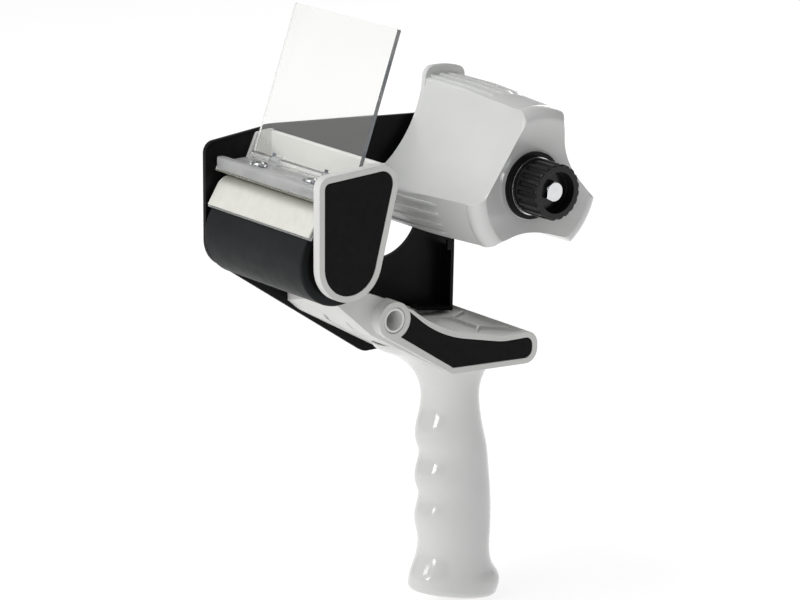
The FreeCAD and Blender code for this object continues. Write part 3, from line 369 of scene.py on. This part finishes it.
screw_low, screw_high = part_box("guard_screws")
screw_x = (screw_low.x + screw_high.x) / 2
screw_inset = (screw_high.x - screw_low.x) / 2
seat = screw_high.z - SCREW_HEAD
star_washer("star_washer_near", (screw_x, screw_low.y + screw_inset, seat), DARK_CHROME)
star_washer("star_washer_far", (screw_x, screw_high.y - screw_inset, seat), DARK_CHROME)


# ---------------------------------------------------------------- studio

CENTRE = (-0.02, 0.0, 0.14)
WHITE = (1.0, 1.0, 1.0)
WARM = (1.0, 0.99, 0.97)
BRIGHT_SIDE = (-0.80, 0.30, 0.60)
DIM_GLOW, BRIGHT_GLOW = 0.08, 0.74
FLOOR_HALF = 4.0
SOFT_BOXES = (  # name, place, width and height in metres, watts, colour
    ("key_light", (-1.42, -0.30, 0.75), 0.45, 0.45, 3.9, WARM),
    ("window_light", (-1.30, -0.78, 0.28), 0.34, 0.16, 2.0, WARM),
    ("top_light", (-0.75, 0.1, 1.55), 0.8, 0.8, 8.5, WHITE),
    ("back_light", (1.2, 0.7, 0.75), 0.6, 0.6, 5.0, WHITE),
)


def soft_box(name, place, width, height, watts, colour):
    """A rectangular studio light that faces the middle of the dispenser."""
    data = bpy.data.lights.new(name, "AREA")
    data.shape = "RECTANGLE"
    data.size = width
    data.size_y = height
    data.energy = watts
    data.color = colour
    lamp = bpy.data.objects.new(name, data)
    bpy.context.scene.collection.objects.link(lamp)
    lamp.location = place
    lamp.rotation_euler = (Vector(CENTRE) - Vector(place)).to_track_quat("-Z", "Y").to_euler()


def studio():
    """White room light that is brightest on the roller side, four soft boxes, and a pale floor."""
    scene = bpy.context.scene
    world = bpy.data.worlds.new("studio_world")
    world.use_nodes = True
    tree = world.node_tree
    direction = tree.nodes.new("ShaderNodeTexCoord").outputs["Generated"]
    towards = tree.nodes.new("ShaderNodeVectorMath")
    towards.operation = "DOT_PRODUCT"
    towards.inputs[1].default_value = Vector(BRIGHT_SIDE).normalized()
    link(tree, direction, towards.inputs[0])
    glow = spread(tree, towards.outputs["Value"], -0.5, 1.0, DIM_GLOW, BRIGHT_GLOW)
    background = tree.nodes["Background"]
    background.inputs["Color"].default_value = (*WHITE, 1.0)
    link(tree, glow, background.inputs["Strength"])
    scene.world = world
    for box in SOFT_BOXES:
        soft_box(*box)
    floor_mesh = bpy.data.meshes.new("floor")
    level = cad_box[0][2]
    corners = ((-1, -1), (1, -1), (1, 1), (-1, 1))
    points = [(FLOOR_HALF * x, FLOOR_HALF * y, level) for x, y in corners]
    floor_mesh.from_pydata(points, [], [(0, 1, 2, 3)])
    floor = bpy.data.objects.new("floor", floor_mesh)
    scene.collection.objects.link(floor)
    floor_mesh.materials.append(surface(
        "pale_floor", (0.34, 0.34, 0.34), (0.36, 0.36, 0.36), 0.7,
        mottle=3, grain=300, grain_bump=0.02, soft_edge=0,
        **{"Emission Color": (*WHITE, 1.0), "Emission Strength": 0.74, "Specular IOR Level": 0.1},
    ))


EYE = (-1.01980, -1.29779, 0.58748)
AZIMUTH, ELEVATION, ROLL = -37.329, 15.245, 0.331  # degrees
SENSOR_WIDTH = 36.0  # mm
FOCAL_LENGTH = 172.14  # mm


def camera():
    """A long lens from the front left, a little above the dispenser."""
    azimuth, elevation, roll = (math.radians(angle) for angle in (AZIMUTH, ELEVATION, ROLL))
    right = Vector((math.cos(azimuth), math.sin(azimuth), 0.0))
    back = Vector((
        math.sin(azimuth) * math.cos(elevation),
        -math.cos(azimuth) * math.cos(elevation),
        math.sin(elevation),
    ))
    up = back.cross(right)
    x_axis = right * math.cos(roll) + up * math.sin(roll)
    y_axis = -right * math.sin(roll) + up * math.cos(roll)
    data = bpy.data.cameras.new("camera")
    data.sensor_width = SENSOR_WIDTH
    data.lens = FOCAL_LENGTH
    data.clip_start = 0.05
    data.clip_end = 50.0
    eye = bpy.data.objects.new("camera", data)
    bpy.context.scene.collection.objects.link(eye)
    turn = Matrix((x_axis, y_axis, back)).transposed().to_4x4()
    eye.matrix_world = Matrix.Translation(EYE) @ turn
    bpy.context.scene.camera = eye


studio()
camera()
bpy.context.scene.view_settings.view_transform = "Standard"
